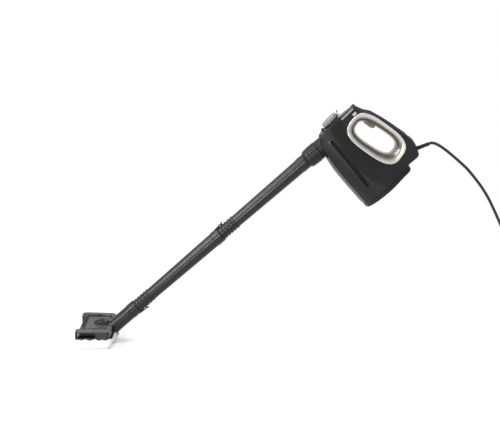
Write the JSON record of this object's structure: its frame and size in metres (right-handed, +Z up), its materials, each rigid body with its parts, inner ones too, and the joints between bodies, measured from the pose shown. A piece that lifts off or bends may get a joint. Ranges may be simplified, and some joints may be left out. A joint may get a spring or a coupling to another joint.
{
  "type": "upright steam cleaner with floor head",
  "caption": "Handheld steam boiler with a pistol trigger in an oval hand opening, two latched extension tubes, a tilting floor head with a clipped cloth, and a mains lead.",
  "frame": {"origin": "middle of the hand grip, on the plane through the tubes", "axes": "+Z up in use, +X back along the floor away from the head, +Y to the far side; the floor lies 0.52 m below the origin and the tubes lean 41 degrees from it"},
  "size_m": [1.3179, 0.1972, 0.5686],
  "materials": {
    "body_plastic": "smooth dark grey",
    "panel_plastic": "satin mid grey",
    "dark_plastic": "matt near-black",
    "base_plastic": "matt black",
    "grip_rubber": "fine ribbed rubber",
    "bright_trim": "warm bright metallised plastic",
    "silver_bar": "bright",
    "lens": "translucent white",
    "lamp_glow": "neon lamp",
    "alloy": "cast",
    "silicone": "red silicone",
    "steel": "plain",
    "heater": "heat-tinted sheath",
    "ceramic": "cream",
    "copper": "drawn tube",
    "brass": "plain",
    "seal_rubber": "black",
    "cord_rubber": "round black lead",
    "tie_plastic": "pale strap",
    "plug_plastic": "moulded black",
    "tube_plastic": "dark grey tube",
    "silver_cap": "ribbed silver",
    "head_plastic": "dark grey",
    "cloth": "white terry",
    "clamp_plastic": "dark grey",
    "trigger_plastic": "satin warm grey",
    "black_steel": "blackened"
  },
  "bodies": {
    "body": {"shell_left": "body_plastic", "shell_right": "body_plastic", "front_panel": "panel_plastic", "top_cover": "panel_plastic", "base_pan": "base_plastic", "grip_strip": "grip_rubber", "ring_trim_left": "bright_trim", "ring_trim_right": "bright_trim", "side_bars": "silver_bar", "pilot_lens": "lens", "pilot_lamp": "lamp_glow", "boiler_tank": "alloy", "boiler_lid": "alloy", "boiler_seal": "silicone", "boiler_bolts": "steel", "heating_element": "heater", "thermostat": "ceramic", "thermal_cutout": "ceramic", "filler_pipe": "alloy", "steam_pipes": "copper", "valve_body": "brass", "valve_spring": "steel", "nozzle_neck": "dark_plastic", "tube_seals": "seal_rubber", "housing_screws": "steel", "terminal_block": "ceramic", "cord_clamp": "ceramic", "strain_relief": "cord_rubber", "cord_run": "cord_rubber", "cord_coil": "cord_rubber", "cord_tie": "tie_plastic", "plug_body": "plug_plastic", "plug_pins": "brass", "tube_upper": "tube_plastic", "tube_lower": "tube_plastic", "head_neck": "tube_plastic", "latch_pins": "steel", "trigger_pin": "steel", "head_pin": "steel"},
    "trigger": {"trigger": "trigger_plastic"},
    "valve_stem": {"valve_rod": "steel", "valve_seal": "seal_rubber"},
    "cap_base": {"cap_tether": "dark_plastic"},
    "cap": {"cap_grip": "silver_cap", "cap_plug": "dark_plastic", "cap_seal": "silicone"},
    "lock_ring": {"lock_collar": "dark_plastic"},
    "upper_catch": {"latch_upper": "dark_plastic"},
    "lower_catch": {"latch_lower": "dark_plastic"},
    "floor_head": {"head_plate": "head_plastic", "head_sole": "base_plastic", "head_screws": "black_steel", "cloth_pad": "cloth", "clamp_pins": "steel", "clamp_springs": "steel"},
    "near_clamp": {"clamp_near": "clamp_plastic"},
    "far_clamp": {"clamp_far": "clamp_plastic"}
  },
  "joints": [
    {"name": "trigger_pull", "type": "hinge", "parent": "body", "child": "trigger", "pos_m": [-0.06984, 0, 0.03595], "axis": [0, -1, 0], "range_deg": [0, 12], "stiffness_Nm_per_rad": 0.5, "springref_deg": -17.19},
    {"name": "valve_slide", "type": "slide", "parent": "body", "child": "valve_stem", "axis": [-0.7536, 0, -0.6574], "range_m": [0, 0.0015]},
    {"name": "cap_lift", "type": "slide", "parent": "body", "child": "cap_base", "axis": [-0.7145, 0, 0.6997], "range_m": [0, 0.0046]},
    {"name": "cap_turn", "type": "hinge", "parent": "cap_base", "child": "cap", "pos_m": [-0.12863, 0, 0.01054], "axis": [-0.7145, 0, 0.6997], "range_deg": [0, 540]},
    {"name": "collar_turn", "type": "hinge", "parent": "body", "child": "lock_ring", "pos_m": [-0.17296, 0, -0.06794], "axis": [0.7536, 0, 0.6574], "range_deg": [0, 35]},
    {"name": "upper_catch_lift", "type": "hinge", "parent": "body", "child": "upper_catch", "pos_m": [-0.40768, 0, -0.25067], "axis": [0, -1, 0], "range_deg": [0, 8], "stiffness_Nm_per_rad": 0.05, "springref_deg": -11.46},
    {"name": "lower_catch_lift", "type": "hinge", "parent": "body", "child": "lower_catch", "pos_m": [-0.59007, 0, -0.45384], "axis": [0, 1, 0], "range_deg": [0, 8], "stiffness_Nm_per_rad": 0.05, "springref_deg": -11.46},
    {"name": "head_pitch", "type": "hinge", "parent": "body", "child": "floor_head", "pos_m": [-0.672, 0, -0.48816], "axis": [0, 1, 0], "range_deg": [-25, 35]},
    {"name": "near_clamp_open", "type": "hinge", "parent": "floor_head", "child": "near_clamp", "pos_m": [-0.692, -0.067, -0.48196], "axis": [-1, 0, 0], "range_deg": [0, 45], "stiffness_Nm_per_rad": 0.04, "springref_deg": -34.38},
    {"name": "far_clamp_open", "type": "hinge", "parent": "floor_head", "child": "far_clamp", "pos_m": [-0.692, 0.067, -0.48196], "axis": [1, 0, 0], "range_deg": [0, 45], "stiffness_Nm_per_rad": 0.04, "springref_deg": -34.38}
  ],
  "couplings": [
    {"joint": "valve_slide", "follows": "trigger_pull", "m_per_rad": 0.007},
    {"joint": "cap_lift", "follows": "cap_turn", "m_per_rad": 0.0004775}
  ]
}
